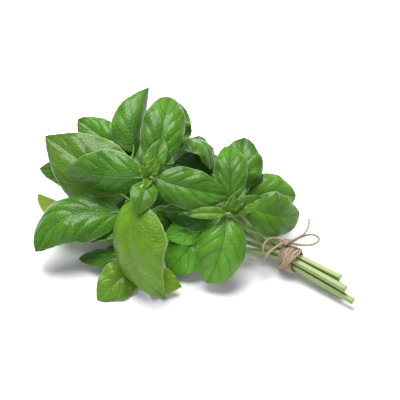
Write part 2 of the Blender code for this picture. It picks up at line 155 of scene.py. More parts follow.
def young(base, tip, width, up=towardView, node=0.98, **form):
    return leaf(base, tip, width, up, node, "young", **form)


def bud(base, tip, width):
    # the smallest leaves, inside the two growing tips in view
    return young(base, tip, width, node=0.99, rise=32, drop=0)


# each sprig: how thick its stem is, as a share of the usual, its stem's route, and its leaves
sprigs = {
    "centre": dict(
        thick=1.0,
        stem=[(124.5, -0.8, 13.4), (104, -0.7, 14.2), (76, -0.4, 14.9), (64, -0.4, 15.1),
              (50, -2, 18.8), (30, 3, 28), (12, 0, 40), (-4, -14, 48), (-15, -27, 54),
              (-24, -35, 64)],
        leaves=[
            leaf((-27.6, -25.4, 69), (-52.2, 25.2, 87.5), 36.5, towardView, arch=0.16, hump=1.2,
                 rise=20, drop=56, end=0.62),
            leaf((-19, -57, 64), (21.8, -80, 7.5), 60, (-0.03, -0.92, 0.38), arch=0.18, bend=0.11,
                 drop=(50, 68), wave=0.7, end=1.0),
            leaf((-29, -38, 67), (-86, -57, 56), 41, (0.38, -0.52, 0.77), bend=-0.03,
                 rise=(-26, 10), drop=(90, 26)),
            leaf((-18, -35.5, 69.5), (24.1, -7.9, 55.6), 33, (0.35, -0.5, 0.8), arch=0.08,
                 bend=0.03, rise=24, drop=48),
            medium((-2, -20, 31), (-24, -47, 33), 22, (0.2, -0.4, 0.9), node=0.66, arch=0.02),
            young((-26, -36, 67), (-31, -10, 84), 16, rise=32, drop=20),
            young((-22.5, -41, 68.5), (-12.3, -66.3, 62.8), 20, arch=0.16, drop=26),
            young((-25, -37, 69), (-25, -28, 81), 8, (0.3, -0.7, 0.6), node=0.99, rise=30, drop=0),
            young((-24, -39, 68), (-18, -49, 71), 7, (0.3, -0.3, 0.8), node=0.99, rise=30, drop=0),
            bud((-25, -36.5, 68.5), (-30.5, -23.5, 80), 7.5),
            bud((-24.5, -38, 69), (-20.5, -29, 78.5), 6.5),
            bud((-25.5, -38, 68.5), (-33.5, -36, 76), 6),
        ],
    ),
    "right": dict(
        thick=1.0,
        stem=[(116.5, 4.6, 15.6), (98, 4.3, 15.6), (76, 4, 15.7), (64, 4, 16), (54, 2, 23),
              (44, -6, 31), (34, -14.5, 40), (32.3, -15.8, 44.5)],
        leaves=[
            leaf((27.2, -7.9, 49.6), (3, 26.8, 66.5), 27, towardView, arch=0.18, hump=1.2, rise=22,
                 drop=50, end=0.56),
            leaf((31, -17, 46), (37.6, -50.8, 8.5), 41.5, towardView, arch=0.2, bend=-0.05, rise=18,
                 drop=60, end=0.66),
            leaf((40, -1, 46), (62, 33, 26), 37, (0.45, -0.5, 0.75), bend=0.08, rise=18,
                 drop=(36, 64)),
            leaf((26, -16, 40), (-15, -33, 38), 29, (0.1, -0.3, 0.95), node=0.92, arch=0.06,
                 wave=1.0),
            young((31.5, -20.5, 52), (8.5, -37.5, 51), 9.5, (0.3, -0.4, 0.85), arch=0.08, rise=30,
                  drop=16),
            young((33, -16, 50), (47, 4, 58), 13, rise=30, drop=12),
            young((31, -16, 51), (33, 3, 60), 9, node=0.99, rise=30, drop=0),
            young((31.5, -18, 51), (25.5, -14.5, 55.5), 9, node=0.99, rise=24, drop=0),
            bud((31.5, -17.5, 51), (23.5, -19.5, 54), 6.5),
            bud((32, -16.5, 51.5), (38.5, -4, 60), 7.5),
            bud((32, -17, 51.5), (29.5, -8, 60), 6.5),
        ],
    ),
    "upper": dict(
        thick=0.74,
        stem=[(119, 3, 10.3), (98, 2.7, 10.9), (76, 2.5, 11.4), (64, 2.5, 11.5), (50, 2, 13),
              (20, -2.2, 23), (-10, -3, 33), (-35, -8, 45), (-50, -11, 55)],
        leaves=[
            leaf((-58, -13, 57), (-78, 33, 79), 39.5, towardView, bend=-0.06, rise=(10, -45),
                 drop=(40, 100), end=1.1),
            leaf((-66, -13, 50), (-113, -11, 60), 30, (0, -0.5, 0.85), node=0.97, arch=0.08,
                 rise=18),
            leaf((-40, 12, 50), (-58, 39, 72), 29, (0.3, -0.6, 0.7), arch=0.1, drop=24, wave=2.4),
            leaf((-34, 18.5, 60), (-4.6, 12, 50), 29, (0.44, 0.41, 0.78), node=0.93, arch=0.3,
                 rise=10),
            medium((-28, 13.5, 34), (-41.3, 47.5, 38), 31, (0, -0.4, 0.9), node=0.72, rise=16),
            medium((-60, 0, 42), (-100, 14, 36), 34, (0, -0.3, 0.95), rise=16),
            medium((-44, -18, 50), (-74, -2, 53), 26, (0.3, -0.5, 0.8), node=0.88, arch=0.08),
            young((-50, -8, 57), (-40, 6, 64), 13, rise=24, drop=10),
        ],
    ),
    "left": dict(
        thick=0.78,
        stem=[(121.5, 1.4, 1.6), (110, 1.2, 1.65), (98, 0.9, 3.7), (86, 1, 6.6), (76, 1.1, 7.5),
              (64, 1.2, 7.5), (50, 3, 7), (20, -6, 9.5), (-8, -25, 18), (-28, -38, 31),
              (-40, -46, 43)],
        leaves=[
            leaf((-42, -43, 43), (-123.2, -37.6, 57), 56, (0.15, -0.45, 0.88), arch=0.06,
                 drop=(46, 28), end=1.0),
            leaf((-39.5, -53.5, 38.5), (-76.5, -107.5, 19), 47, (0.1, -0.2, 0.98), arch=0.17,
                 hump=1.2, bend=0.12, drop=(64, 52)),
            leaf((-68.6, -32, 34), (-119.6, -51, 35.5), 29, (0, -0.3, 0.95), node=0.9, arch=0.08,
                 drop=20),
            medium((-67.8, -64, 19), (-114, -61.5, 19.5), 26, (0, -0.2, 0.95), node=0.86, arch=0.08,
                   rise=(14, -40), drop=(20, 90)),
            medium((-24, -50, 26), (-60, -73, 29), 23, (0, -0.3, 0.95), arch=0.06, drop=20),
            medium((-28, -50, 12), (-41, -72, 0.2), 20, skyward, node=0.62, arch=0.1, drop=20),
            medium((-36, -60, 24), (-53, -82, 21), 18, (-0.2, 0.2, 0.9), arch=0.08, drop=20,
                   wave=0.5),
            medium((-30, -34, 22), (-76, -42, 24), 42, skyward, node=0.75, arch=0.06, drop=20),
        ],
    ),
    "front": dict(
        thick=1.0,
        stem=[(132.3, -2.2, 6.6), (106, -2.3, 8.6), (76, -1.7, 10.5), (64, -1.9, 10.5),
              (50, -6, 11.1), (28, -19, 13), (8, -33, 17), (-6, -46, 23), (-12, -54, 27)],
        leaves=[
            leaf((-13, -68.5, 11.5), (-21.2, -105.3, 0.4), 30, (0.3, -0.5, 0.8), node=0.98,
                 arch=0.1, rise=16, drop=34),
            medium((-24, -71.8, 15), (-54.7, -85.7, 6), 17, (0, -0.3, 0.9), node=0.98, arch=0.04,
                   rise=16, wave=0.7),
            leaf((16, -24, 25), (7.5, -57.5, 5), 36, (0.2, -0.5, 0.8), node=0.6, arch=0.14,
                 rise=16),
            leaf((17, -14, 28), (-4, -46, 27), 27, (0.3, -0.4, 0.85), node=0.55, arch=0.1, rise=16),
            medium((2, -72, 9), (24, -63.5, 6.5), 21, (0.3, -0.5, 0.8), node=0.75, arch=0.1,
                   drop=20, end=1.1),
            young((-14, -58, 28), (-18, -74, 34), 12, between, node=0.99, rise=24, drop=10),
        ],
    ),
    "back": dict(
        thick=0.74,
        stem=[(113.5, 8.6, 11.3), (97, 7.7, 11.8), (76, 6.75, 12.3), (64, 6.8, 12.6), (54, 9, 18.5),
              (38, 12, 27), (18, 15, 36), (2, 18, 43), (-8, 19, 47)],
        leaves=[
            leaf((27.5, 16, 38), (51.5, 43.5, 30), 37, (0.3, -0.5, 0.8), node=0.7, arch=0.14,
                 rise=16),
            leaf((21.4, 11.6, 44), (3, 44.6, 62), 35, towardView, node=0.72, rise=18, wave=2.2),
            medium((-4, 13, 44), (-37, 9, 41), 31, (0, -0.5, 0.8), node=0.96, arch=0.05, drop=20),
            medium((22, 26, 28), (12, 54, 14), 34, skyward, node=0.6, arch=0.14),
            medium((4, 30, 34), (-12, 58, 24), 32, skyward),
            young((-11, 21, 47), (-24, 28, 48), 12, between, node=0.99, rise=24, drop=10),
        ],
    ),
    "low": dict(
        thick=0.74,
        stem=[(114.5, 6.8, 5.9), (98, 6, 7.1), (76, 5, 8.3), (64, 5.3, 8.3), (50, 12, 8.8),
              (20, 20, 12), (-10, 24, 17), (-34, 25, 23)],
        leaves=[
            medium((-42, 20, 25), (-92, 30, 14), 38, skyward, node=0.97),
            medium((-30, 32, 22), (-46, 60, 8), 36, skyward, node=0.9),
            medium((8, 26, 18), (22, 50, 4), 32, skyward, node=0.6),
            medium((-26, 14, 16), (-70, -10, 4), 38, skyward, arch=0.1),
            medium((-14, 34, 13), (-14, 58, 0.2), 30, skyward, node=0.75, wave=1.2),
            medium((-48, 28, 16), (-78, 50, 0.2), 28, skyward, node=0.97, wave=1.2),
            medium((30, 28, 9), (52, 48, 1), 24, skyward, node=0.45, arch=0.1, wave=1.0),
            young((-38, 28, 27), (-54, 42, 34), 14, skyward, node=0.99, rise=24, drop=10),
        ],
    ),
}

# How yellow, how dark and how puffed between its veins each leaf is, where that isn't the usual.
# The darkness is partly the leaf's own green and partly painted shade. A darkness below 0 makes
# it brighter: painted light that stands in for light shining through the blade.
tones = {
    "centre": {0: (0.12, 0.35, 0.9), 1: (0.3, 0.05, 0.4), 2: (0.1, 0.6, 1.0), 3: (0.14, 0.45, 1.0),
               4: (0.1, 0.4, 0.8), 5: (0.12, 0.2, 0.8), 6: (0.12, 0.2, 0.6), 7: (0.25, 0.0, 0.6),
               8: (0.25, 0.0, 0.6)},
    "right": {0: (0.1, 0.2, 0.8), 1: (0.14, -0.15, 1.0), 2: (0.15, 0.0, 0.45), 3: (0.0, 0.3, 0.8),
              4: (0.2, 0.0, 0.6), 5: (0.15, 0.0, 0.6), 6: (0.2, 0.0, 0.6)},
    "upper": {0: (0.12, 0.45, 0.4), 1: (0.12, 0.4, 0.6), 2: (0.15, 0.4, 0.6), 3: (0.12, 0.2, 0.9),
              4: (0.05, 0.4, 0.8), 5: (0.05, 0.4, 0.8)},
    "left": {0: (0.55, 0.88, 0.5), 1: (0.14, 0.62, 1.1), 2: (0.1, 0.5, 0.6), 3: (0.75, 0.35, 0.4),
             4: (0.05, 0.4, 0.8), 5: (0.05, 0.3, 0.8), 7: (0.0, 0.5, 0.8)},
    "front": {0: (0.3, 0.05, 0.7), 1: (0.1, 0.3, 0.6), 2: (0.05, -0.35, 1.0), 3: (0.05, -1.0, 1.0),
              4: (0.75, -0.2, 0.5)},
    "back": {0: (0.15, -0.1, 0.7), 1: (0.12, 0.5, 0.7), 2: (0.05, 0.5, 0.8)},
    "low": {number: (0.05, 0.4, 0.9) for number in range(7)},
}
usualTones = {"large": (0.08, 0.2, 0.9), "medium": (0.08, 0.2, 0.9), "young": (0.2, 0.0, 0.9)}


# shader helpers
def link(tree, value, socket):
    if hasattr(value, "is_output"):
        tree.links.new(value, socket)
    else:
        socket.default_value = value


def addNode(tree, kind, inputs, **settings):
    node = tree.nodes.new("ShaderNode" + kind)
    for name, value in settings.items():
        setattr(node, name, value)
    for label, value in inputs.items():
        link(tree, value, node.inputs[label])
    return node.outputs


def calc(tree, operation, *values):
    return addNode(tree, "Math", dict(enumerate(values)), operation=operation)[0]


def times(tree, *values):
    return calc(tree, "MULTIPLY", *values)


def timesAdd(tree, *values):
    return calc(tree, "MULTIPLY_ADD", *values)


def fade(tree, value, low, high, toLow=0.0, toHigh=1.0):
    # a smooth step from toLow to toHigh while the value goes from low to high
    labels = ("Value", "From Min", "From Max", "To Min", "To Max")
    inputs = dict(zip(labels, (value, low, high, toLow, toHigh)))
    return addNode(tree, "MapRange", inputs, interpolation_type="SMOOTHSTEP")["Result"]


def blend(tree, share, first, second):
    # sockets 6 and 7 are the node's two colours
    first, second = ((*c, 1) if isinstance(c, tuple) else c for c in (first, second))
    return addNode(tree, "Mix", {"Factor": share, 6: first, 7: second}, data_type="RGBA")[2]


def noise(tree, vector, size, detail=2):
    inputs = {"Vector": vector, "Scale": size, "Detail": detail, "Roughness": 0.55}
    return addNode(tree, "TexNoise", inputs)["Fac"]


def relief(tree, height, distance, strength=1.0):
    inputs = {"Height": height, "Distance": distance, "Strength": strength}
    return addNode(tree, "Bump", inputs)["Normal"]


def partsOf(tree, value, kind="XYZ"):
    # the three parts of a vector, or of a colour where kind is Color
    return addNode(tree, "Separate" + kind, {0: value})[:3]


def uvOf(tree):
    return addNode(tree, "UVMap", {})["UV"]


def objectPlace(tree):
    return addNode(tree, "TexCoord", {})["Object"]


def toneOf(tree):
    return addNode(tree, "Attribute", {}, attribute_name="leafTone")


def newGroup(name, inputs, outputs):
    tree = bpy.data.node_groups.new(name, "ShaderNodeTree")
    for label, kind in inputs.items():
        tree.interface.new_socket(label, in_out="INPUT", socket_type="NodeSocket" + kind)
    for label in outputs:
        tree.interface.new_socket(label, in_out="OUTPUT", socket_type="NodeSocketFloat")
    entry, leave = tree.nodes.new("NodeGroupInput"), tree.nodes.new("NodeGroupOutput")
    return tree, entry.outputs, leave.inputs


def newMaterial(name, roughness, specular=0.5, coat=0.0, coatRoughness=0.3, sheen=0.0):
    made = bpy.data.materials.new(name)
    made.use_nodes = True
    shader = made.node_tree.nodes["Principled BSDF"].inputs
    given = {"Metallic": 0, "Roughness": roughness, "Specular IOR Level": specular,
             "Coat Weight": coat, "Coat Roughness": coatRoughness, "Sheen Weight": sheen}
    for label, value in given.items():
        shader[label].default_value = value
    return made, made.node_tree, shader


# Where the veins run, for the blades' shape and colour: slant, sweep and start are explained
# below. The pairs say where each drawn line starts and stops fading.
veins = dict(slant=0.26, sweep=0.20, start=0.02, side=(0.008, 0.034), sideEnd=(0.7, 0.97),
             firstSide=(-0.6, -0.2), between=(0.04, 0.42), midrib=(0.008, 0.032),
             margin=(0.93, 0.99), netStretch=(17, 10, 1), netSize=1.6, netEdge=0.16)


def makeVeinGroup():
    # U is the share of the leaf's length and V runs across it. A side vein leaves the midrib at
    # each whole number of (U - slant a - sweep a a - start) / step, where a is how far out it is.
    outputs = ("Midrib", "Side", "Net", "Margin", "Between")
    tree, entry, leave = newGroup("leafVeins", {"UV": "Vector", "Step": "Float"}, outputs)
    along, across, _ = partsOf(tree, entry["UV"])
    away = calc(tree, "ABSOLUTE", timesAdd(tree, across, 2.0, -1.0))
    bend = times(tree, away, timesAdd(tree, away, veins["sweep"], veins["slant"]))
    order = calc(tree, "SUBTRACT", calc(tree, "SUBTRACT", along, veins["start"]), bend)
    order = calc(tree, "DIVIDE", order, entry["Step"])
    nearest = calc(tree, "PINGPONG", order, 0.5)
    # 0 on a side vein and 1 midway between two; it feeds painted shade on the veins and light
    # between
    swell = fade(tree, nearest, *veins["between"])
    side = fade(tree, nearest, *veins["side"], 1.0, 0.0)
    side = times(tree, side, fade(tree, away, *veins["sideEnd"], 1.0, 0.0))
    side = times(tree, side, fade(tree, order, *veins["firstSide"]))
    midribLine = fade(tree, away, *veins["midrib"], 1.0, 0.0)
    place = {"Vector": entry["UV"], "Scale": veins["netStretch"]}
    cells = {"Vector": addNode(tree, "Mapping", place)[0], "Scale": veins["netSize"]}
    cells = addNode(tree, "TexVoronoi", cells, feature="DISTANCE_TO_EDGE")
    net = fade(tree, cells["Distance"], 0.0, veins["netEdge"])
    margin = fade(tree, away, *veins["margin"])
    for label, value in zip(outputs, (midribLine, side, net, margin, swell)):
        link(tree, value, leave[label])
    return tree


veinGroup = makeVeinGroup()

greens = dict(
    deep=(0.006, 0.058, 0.003),
    fresh=(0.070, 0.272, 0.004),
    # painted light, for leaves in shade that light would shine through
    paintedShineThrough=(0.180, 0.580, 0.040),
    yellow=(0.230, 0.320, 0.006),
    vein=(0.220, 0.440, 0.090),
    # painted shade in the sunken vein creases of the upper skin
    paintedCreaseShade=(0.030, 0.130, 0.010),
    # painted highlight along the blade's margin
    rim=(0.350, 0.520, 0.220),
    under=(0.150, 0.310, 0.090),
    underDeep=(0.070, 0.190, 0.040),
)
# The two skins of a blade: their greens, the green of a fresh leaf's veins (on the upper skin a
# dark painted shade for the sunken creases), their gloss, and whether the veins sink in (-1) or
# stand out (1).
skins = {
    "Upper": dict(deep="deep", fresh="fresh", vein="paintedCreaseShade", coat=0.14, roughness=0.24, stand=-1),
    "Under": dict(deep="underDeep", fresh="under", vein="vein", coat=0, roughness=0.50, stand=1),
}
bladeLooks = dict(plainRoughness=0.42, specular=0.24, coatRoughness=0.12,
                  blotchSize=40, blotchFade=(0.3, 0.7), blotchShare=0.6, creaseShadeShare=0.1,
                  leastFresh=0.2, darkShare=0.75, midribShare=0.45, sideShare=0.34, mostVein=0.8,
                  paleFrom=(0.14, 0.40), netShare=0.07, rimHighlightShare=0.55, speckleSize=900,
                  speckleGloss=0.14, veinHeight=0.65, netHeight=0.35, speckleHeight=0.12,
                  depth=0.0005)


def makeBladeMaterial(side):
    # The leafTone attribute holds how yellow the leaf is, how dark (partly painted shade), its vein
    # step and how bright (painted light standing in for light shining through the blade).
    skin, looks = skins[side], bladeLooks
    made, tree, shader = newMaterial("basilBlade" + side, looks["plainRoughness"],
                                     looks["specular"], skin["coat"], looks["coatRoughness"])
    tone = toneOf(tree)
    age, dark, step = partsOf(tree, tone["Color"], "Color")
    lines = addNode(tree, "Group", {"UV": uvOf(tree), "Step": step}, node_tree=veinGroup)
    place = objectPlace(tree)
    blotch = fade(tree, noise(tree, place, looks["blotchSize"]), *looks["blotchFade"])
    # lighter between the side veins, darker on them: painted light on the puffs, painted shade in
    # the creases
    fresh = timesAdd(tree, lines["Between"], looks["creaseShadeShare"], looks["leastFresh"])
    fresh = timesAdd(tree, blotch, looks["blotchShare"], fresh)
    flat = blend(tree, fresh, greens[skin["deep"]], greens[skin["fresh"]])
    flat = blend(tree, age, flat, greens["yellow"])
    # darker toward the deep green: partly the leaf's own colour, partly painted shade
    flat = blend(tree, times(tree, dark, looks["darkShare"]), flat, greens["deep"])
    # brighter toward a vivid green: painted light standing in for light shining through the blade
    flat = blend(tree, tone["Alpha"], flat, greens["paintedShineThrough"])
    # on the upper skin the veins of all but yellow leaves take the dark crease green: painted shade
    mark = times(tree, lines["Side"], looks["sideShare"])
    mark = timesAdd(tree, lines["Midrib"], looks["midribShare"], mark)
    line = blend(tree, fade(tree, age, *looks["paleFrom"]), greens[skin["vein"]], greens["vein"])
    flat = blend(tree, calc(tree, "MINIMUM", mark, looks["mostVein"]), flat, line)
    netLine = times(tree, calc(tree, "SUBTRACT", 1.0, lines["Net"]), looks["netShare"])
    flat = blend(tree, netLine, flat, greens["vein"])
    # a pale green along the margin: painted highlight on the blade's edge
    rim = times(tree, lines["Margin"], looks["rimHighlightShare"])
    link(tree, blend(tree, rim, flat, greens["rim"]), shader["Base Color"])
    speckle = noise(tree, place, looks["speckleSize"])
    gloss = timesAdd(tree, speckle, looks["speckleGloss"], skin["roughness"])
    link(tree, gloss, shader["Roughness"])
    height = calc(tree, "ADD", lines["Side"], lines["Midrib"])
    height = times(tree, height, skin["stand"] * looks["veinHeight"])
    height = timesAdd(tree, lines["Net"], -looks["netHeight"] * skin["stand"], height)
    height = timesAdd(tree, speckle, looks["speckleHeight"], height)
    link(tree, relief(tree, height, looks["depth"]), shader["Normal"])
    return made


bladeSkins = [makeBladeMaterial(side) for side in skins]


def makeGrainGroup():
    # Lines that run along a stem or a strand: noise read on a circle as V goes round, drawn out
    # along U. Twist is how far round the lines go for each unit of U.
    inputs = {"UV": "Vector", "Lines": "Float", "Twist": "Float"}
    tree, entry, leave = newGroup("lengthGrain", inputs, ("Grain", "Patch", "Round"))
    along, across, _ = partsOf(tree, entry["UV"])
    around = calc(tree, "SUBTRACT", across, times(tree, along, entry["Twist"]))
    angle = times(tree, around, 2 * np.pi)
    x, y = (times(tree, calc(tree, wave, angle), entry["Lines"]) for wave in ("COSINE", "SINE"))
    circle = addNode(tree, "CombineXYZ", {"X": x, "Y": y, "Z": along})[0]
    link(tree, noise(tree, circle, 1.0, 3), leave["Grain"])
    link(tree, noise(tree, circle, 0.35), leave["Patch"])
    link(tree, around, leave["Round"])
    return tree


grainGroup = makeGrainGroup()


def grainOf(tree, lines, twist):
    inputs = {"UV": uvOf(tree), "Lines": lines, "Twist": twist}
    return addNode(tree, "Group", inputs, node_tree=grainGroup)


stemLooks = dict(rib=(0.275, 0.360, 0.145), face=(0.205, 0.295, 0.080),
                 groove=(0.230, 0.300, 0.030), head=(0.150, 0.340, 0.060),
                 pith=(0.620, 0.720, 0.400), rind=(0.300, 0.450, 0.120),
                 lines=2.2, ribFade=(0.35, 0.95), grooveFade=(0.3, 0.95), patchFade=(0.35, 0.65),
                 ribShare=0.7, grooveShare=0.6, roughness=0.32, grainGloss=0.2, depth=0.0003,
                 strength=0.6, cutSpeckleSize=2500, cutSpeckle=0.12, rindFade=(0.72, 0.95))


def makeStemMaterial():
    # V goes round the stem. Its ribs stand at the four corners, its grooves between them.
    made, tree, shader = newMaterial("basilStem", 0.4, coat=0.1)
    grain = grainOf(tree, stemLooks["lines"], 0.0)
    corner = calc(tree, "COSINE", times(tree, grain["Round"], 8 * np.pi))
    rib = fade(tree, times(tree, corner, -1.0), *stemLooks["ribFade"])
    groove = fade(tree, corner, *stemLooks["grooveFade"])
    patch = fade(tree, grain["Patch"], *stemLooks["patchFade"])
    flat = blend(tree, patch, stemLooks["face"], stemLooks["rib"])
    groove = times(tree, groove, stemLooks["grooveShare"])
    flat = blend(tree, groove, flat, stemLooks["groove"])
    rib = times(tree, rib, stemLooks["ribShare"])
    flat = blend(tree, rib, flat, stemLooks["rib"])
    leafy = partsOf(tree, toneOf(tree)["Color"], "Color")[0]
    link(tree, blend(tree, leafy, flat, stemLooks["head"]), shader["Base Color"])
    bumps = relief(tree, grain["Grain"], stemLooks["depth"], stemLooks["strength"])
    link(tree, bumps, shader["Normal"])
    gloss = (grain["Grain"], stemLooks["grainGloss"], stemLooks["roughness"])
    link(tree, timesAdd(tree, *gloss), shader["Roughness"])
    return made


def makeCutMaterial():
    # U of the cut end goes from the middle to the rim: pale pith, then a green rind.
    made, tree, shader = newMaterial("cutStemEnd", 0.55)
    toRim = partsOf(tree, uvOf(tree))[0]
    speckle = noise(tree, objectPlace(tree), stemLooks["cutSpeckleSize"])
    toRim = timesAdd(tree, speckle, stemLooks["cutSpeckle"], toRim)
    rim = fade(tree, toRim, *stemLooks["rindFade"])
    link(tree, blend(tree, rim, stemLooks["pith"], stemLooks["rind"]), shader["Base Color"])
    link(tree, relief(tree, speckle, stemLooks["depth"]), shader["Normal"])
    return made


stemSkins = [makeStemMaterial(), makeCutMaterial()]

jute = dict(strands=3, pitch=4.6, dark=(0.130, 0.084, 0.045), tan=(0.360, 0.260, 0.160),
            straw=(0.560, 0.450, 0.300), lines=5.0, grainFade=(0.3, 0.7), patchSize=160,
            patchFade=(0.3, 0.7), patchShare=0.35, grooveFade=(0.15, 0.65), grooveShare=0.85,
            depth=0.0004)


def makeJuteMaterial():
    # U is the length in millimetres and V the way round. The strands twist once in every pitch.
    made, tree, shader = newMaterial("juteTwine", 0.85, specular=0.2, sheen=0.25)
    grain = grainOf(tree, jute["lines"], 1 / jute["pitch"])
    strand = times(tree, grain["Round"], np.pi * jute["strands"])
    strand = calc(tree, "ABSOLUTE", calc(tree, "COSINE", strand))
    patch = fade(tree, noise(tree, objectPlace(tree), jute["patchSize"]), *jute["patchFade"])
    flat = blend(tree, fade(tree, grain["Grain"], *jute["grainFade"]), jute["tan"], jute["straw"])
    flat = blend(tree, times(tree, patch, jute["patchShare"]), flat, jute["tan"])
    # darker in the grooves between the strands: painted shade
    groove = fade(tree, strand, *jute["grooveFade"], jute["grooveShare"], 0.0)
    link(tree, blend(tree, groove, flat, jute["dark"]), shader["Base Color"])
    link(tree, relief(tree, grain["Grain"], jute["depth"]), shader["Normal"])
    return made


juteTwine = makeJuteMaterial()
print("materials are made")


# mesh helpers
floorGap = 0.00002  # no point lies lower than this, in metres
seamGap = 1e-6  # points nearer than this are one, in metres


def unit(vectors):
    # each vector divided by its length
    return vectors / np.maximum(np.linalg.norm(vectors, axis=-1, keepdims=True), 1e-12)


def lengthAlong(path):
    # how far along the path each of its points lies
    return np.concatenate([[0], np.cumsum(np.linalg.norm(np.diff(path, axis=0), axis=1))])


def smoothStep(value, low, high):
    # three squares less two cubes of the share of the way from low to high
    t = np.clip((value - low) / (high - low), 0, 1)
    return t * t * (3 - 2 * t)


def smoothPath(points, count):
    # points evenly spread in parameter on a Catmull-Rom curve through the given ones
    given = np.array(points, float)
    given = np.vstack([2 * given[0] - given[1], given, 2 * given[-1] - given[-2]])
    spans = len(given) - 3
    place = np.linspace(0, spans, count)
    span = np.minimum(place.astype(int), spans - 1)
    t = (place - span)[:, None]
    a, b, c, d = (given[span + k] for k in range(4))
    square, cube = 2 * a - 5 * b + 4 * c - d, 3 * b - a - 3 * c + d
    return 0.5 * (2 * b + (c - a) * t + square * t**2 + cube * t**3)


def gridFaces(rows, columns, start=0):
    # quads of a grid of points that is stored row by row
    row = np.arange(rows - 1)[:, None] * columns
    column = np.arange(columns - 1)[None, :]
    corner = row + column
    corners = [corner, corner + 1, corner + columns + 1, corner + columns]
    return start + np.stack(corners, axis=-1).reshape(-1, 4)


class Shape:
    # gathers grids of points, their faces, UVs, tones and material numbers into one mesh

    def __init__(self):
        self.points, self.faces, self.uvs, self.tones, self.slots = [], [], [], [], []
        self.count = 0

    def add(self, points, faces, uvs, tone, slots):
        self.points.append(points.reshape(-1, 3))
        self.faces.append(faces + self.count)
        self.uvs.append(uvs.reshape(-1, 2))
        self.tones.append(np.broadcast_to(np.array(tone, float), (len(self.points[-1]), 4)))
        self.slots.append(np.broadcast_to(slots, len(faces)))
        self.count += len(self.points[-1])

    def build(self, name, materials):
        points, faces = toMetres(np.vstack(self.points)), np.vstack(self.faces)
        points[:, 2] = np.maximum(points[:, 2], floorGap)
        mesh = bpy.data.meshes.new(name)
        mesh.vertices.add(len(points))
        mesh.vertices.foreach_set("co", points.ravel().astype(np.float32))
        mesh.loops.add(faces.size)
        mesh.loops.foreach_set("vertex_index", faces.ravel().astype(np.int32))
        mesh.polygons.add(len(faces))
        mesh.polygons.foreach_set("loop_start", np.arange(0, faces.size, 4, dtype=np.int32))
        mesh.polygons.foreach_set("loop_total", np.full(len(faces), 4, dtype=np.int32))
        mesh.polygons.foreach_set("material_index", np.concatenate(self.slots).astype(np.int32))
        mesh.update(calc_edges=True)
        uvs = np.vstack(self.uvs)[faces.ravel()].ravel().astype(np.float32)
        mesh.uv_layers.new(name="surfaceMap").data.foreach_set("uv", uvs)
        tones = mesh.attributes.new("leafTone", "FLOAT_COLOR", "POINT")
        tones.data.foreach_set("color", np.vstack(self.tones).ravel().astype(np.float32))
        weld = bmesh.new()
        weld.from_mesh(mesh)
        bmesh.ops.remove_doubles(weld, verts=weld.verts, dist=seamGap)
        weld.to_mesh(mesh)
        weld.free()
        mesh.shade_smooth()
        for material in materials:
            mesh.materials.append(material)
        made = bpy.data.objects.new(name, mesh)
        bpy.context.scene.collection.objects.link(made)
        return made


def keep(piece, slot, *nodes):
    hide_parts(*nodes)
    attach(piece, "root")


# The blades: the outline, the bow and the fold along the midrib, the margin's wave and teeth, the
# skin's puff between the veins, the veins that stand out below, and the thickness. Lengths are in
# millimetres; arch, puff and warp are shares of the blade's length, rise and drop are degrees.
blade = dict(
    footPower=0.6, tipPower=0.8, nearestEnd=0.0015, tipHalf=0.22,
    arch=0.12, rise=14, drop=44, evenCurve=0.35, foldWidth=0.35, leastGrow=0.1,
    waves=3, waveHeight={"large": 1.4, "medium": 1.4, "young": 0.7}, wavePower=2.5, waveShift=1.9,
    teeth=13, toothSize=0.35, toothLean=0.6, toothPower=12, toothStart=(0.06, 0.2), toothFull=50,
    smallest=0.3, warp=0.008, warpAlong=5.1, warpAcross=2.2,
    puff=0.017, puffPower=0.55, puffUneven=0.3, puffRise=(0.02, 0.3), puffFall=(0.6, 1),
    puffLoss=0.7, puffStart=(0, 0.15), lobeStep=2.3, lobeShift=2,
    veinStep={"large": 0.215, "medium": 0.22, "young": 0.2}, midribDepth=0.9, midribWidth=0.9,
    midribTaper=0.75, sideVeinDepth=0.22, sideVeinWidth=0.7, sideVeinEnd=0.5, veinFull=30,
    thickness=0.42, rimThickness=0.22, rimPower=6,
)


def midrib(form, t):
    # the chord from base to tip, lifted by half a sine wave up and to the side
    base = np.array(form["base"], float)
    chord = np.array(form["tip"], float) - base
    length = np.linalg.norm(chord)
    along = chord / length
    up = np.array(form["up"], float)
    up = unit(up - (up @ along) * along)
    side = np.cross(along, up)
    swell = np.sin(np.pi * t ** form.get("hump", 1))[..., None] * length
    lift = form.get("arch", blade["arch"]) * swell * up + form.get("bend", 0) * swell * side
    return base + chord * t[..., None] + lift, up, length


def halfWidth(form, t):
    # a power of the distance from the foot times a power of the distance from the tip
    foot, end = blade["footPower"], form.get("end", blade["tipPower"])
    broadest = foot / (foot + end)
    inside = np.clip(t, blade["nearestEnd"], 1 - blade["nearestEnd"])
    share = (inside / broadest) ** foot * ((1 - inside) / (1 - broadest)) ** end
    return np.maximum(form["width"] / 2 * share, blade["tipHalf"])


def bySide(value, v):
    # the value for each point's half of the blade, in radians
    left, right = np.radians(np.broadcast_to(value, 2))
    return np.where(v < 0, left, right)


def bySize(form, fullWidth):
    # 1 for a leaf that is this wide or wider, less for a narrower one
    return np.clip(form["width"] / fullWidth, blade["smallest"], 1)


def toothOf(form, t, away):
    # how far the margin stands out: a sine that leans to one side, held near the margin by a power
    cut = 2 * np.pi * blade["teeth"] * t + form["seed"]
    cut = cut + blade["toothLean"] * np.sin(cut)
    tooth = blade["toothSize"] * np.sin(cut) * away ** blade["toothPower"]
    tooth = tooth * smoothStep(t, *blade["toothStart"])
    return tooth * bySize(form, blade["toothFull"])


def waveOf(form, t, v, grow):
    # a sine along the blade that grows toward the margin, shifted between the two halves
    size = form.get("wave", blade["waveHeight"][form["size"]])
    phase = 2 * np.pi * blade["waves"] * t + form["phase"] + np.where(v < 0, blade["waveShift"], 0)
    return size * np.abs(v) ** blade["wavePower"] * np.sin(phase) * grow


